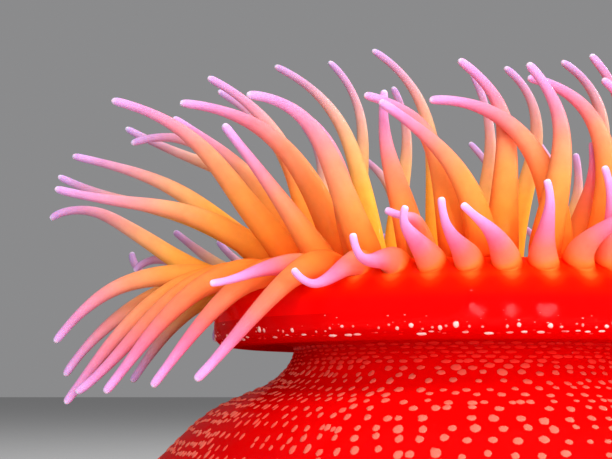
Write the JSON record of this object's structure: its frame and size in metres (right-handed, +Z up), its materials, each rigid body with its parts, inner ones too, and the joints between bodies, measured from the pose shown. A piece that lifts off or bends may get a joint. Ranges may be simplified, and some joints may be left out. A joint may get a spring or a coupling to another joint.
{
  "type": "white-spotted rose anemone, still life-size model",
  "caption": "Sea anemone with a flared, spotted scarlet column, a rolled collar and a crown of orange-to-pink knobbed tentacles swaying to one side.",
  "frame": {"origin": "centre of the pedal disc's flat underside, on the surface that the animal stands on", "axes": "+Z up through the mouth; -Y is the front; the crown of tentacles sways towards -X"},
  "size_m": [0.1525, 0.1385, 0.1],
  "materials": {
    "column_skin": "wet, glossy scarlet skin with pale raised spots",
    "disc_skin": "wet, satin orange-red skin",
    "tentacle_flesh": "wet, translucent orange flesh fading to pink with pale knobs"
  },
  "bodies": {
    "root": {"pedal_disc": "column_skin", "column_lower": "column_skin", "column_upper": "column_skin", "collar": "column_skin", "oral_disc": "disc_skin", "lips": "disc_skin", "margin_1": "tentacle_flesh", "margin_2": "tentacle_flesh", "margin_3": "tentacle_flesh", "margin_4": "tentacle_flesh", "margin_5": "tentacle_flesh", "margin_6": "tentacle_flesh", "tentacle_1_01": "tentacle_flesh", "tentacle_1_02": "tentacle_flesh", "tentacle_1_03": "tentacle_flesh", "tentacle_1_04": "tentacle_flesh", "tentacle_1_05": "tentacle_flesh", "tentacle_1_06": "tentacle_flesh", "tentacle_2_01": "tentacle_flesh", "tentacle_2_02": "tentacle_flesh", "tentacle_2_03": "tentacle_flesh", "tentacle_2_04": "tentacle_flesh", "tentacle_2_05": "tentacle_flesh", "tentacle_2_06": "tentacle_flesh", "tentacle_3_01": "tentacle_flesh", "tentacle_3_02": "tentacle_flesh", "tentacle_3_03": "tentacle_flesh", "tentacle_3_04": "tentacle_flesh", "tentacle_3_05": "tentacle_flesh", "tentacle_3_06": "tentacle_flesh", "tentacle_3_07": "tentacle_flesh", "tentacle_3_08": "tentacle_flesh", "tentacle_3_09": "tentacle_flesh", "tentacle_3_10": "tentacle_flesh", "tentacle_3_11": "tentacle_flesh", "tentacle_3_12": "tentacle_flesh", "tentacle_4_01": "tentacle_flesh", "tentacle_4_02": "tentacle_flesh", "tentacle_4_03": "tentacle_flesh", "tentacle_4_04": "tentacle_flesh", "tentacle_4_05": "tentacle_flesh", "tentacle_4_06": "tentacle_flesh", "tentacle_4_07": "tentacle_flesh", "tentacle_4_08": "tentacle_flesh", "tentacle_4_09": "tentacle_flesh", "tentacle_4_10": "tentacle_flesh", "tentacle_4_11": "tentacle_flesh", "tentacle_4_12": "tentacle_flesh", "tentacle_4_13": "tentacle_flesh", "tentacle_4_14": "tentacle_flesh", "tentacle_4_15": "tentacle_flesh", "tentacle_4_16": "tentacle_flesh", "tentacle_4_17": "tentacle_flesh", "tentacle_4_18": "tentacle_flesh", "tentacle_4_19": "tentacle_flesh", "tentacle_4_20": "tentacle_flesh", "tentacle_4_21": "tentacle_flesh", "tentacle_4_22": "tentacle_flesh", "tentacle_4_23": "tentacle_flesh", "tentacle_4_24": "tentacle_flesh"}
  },
  "joints": []
}
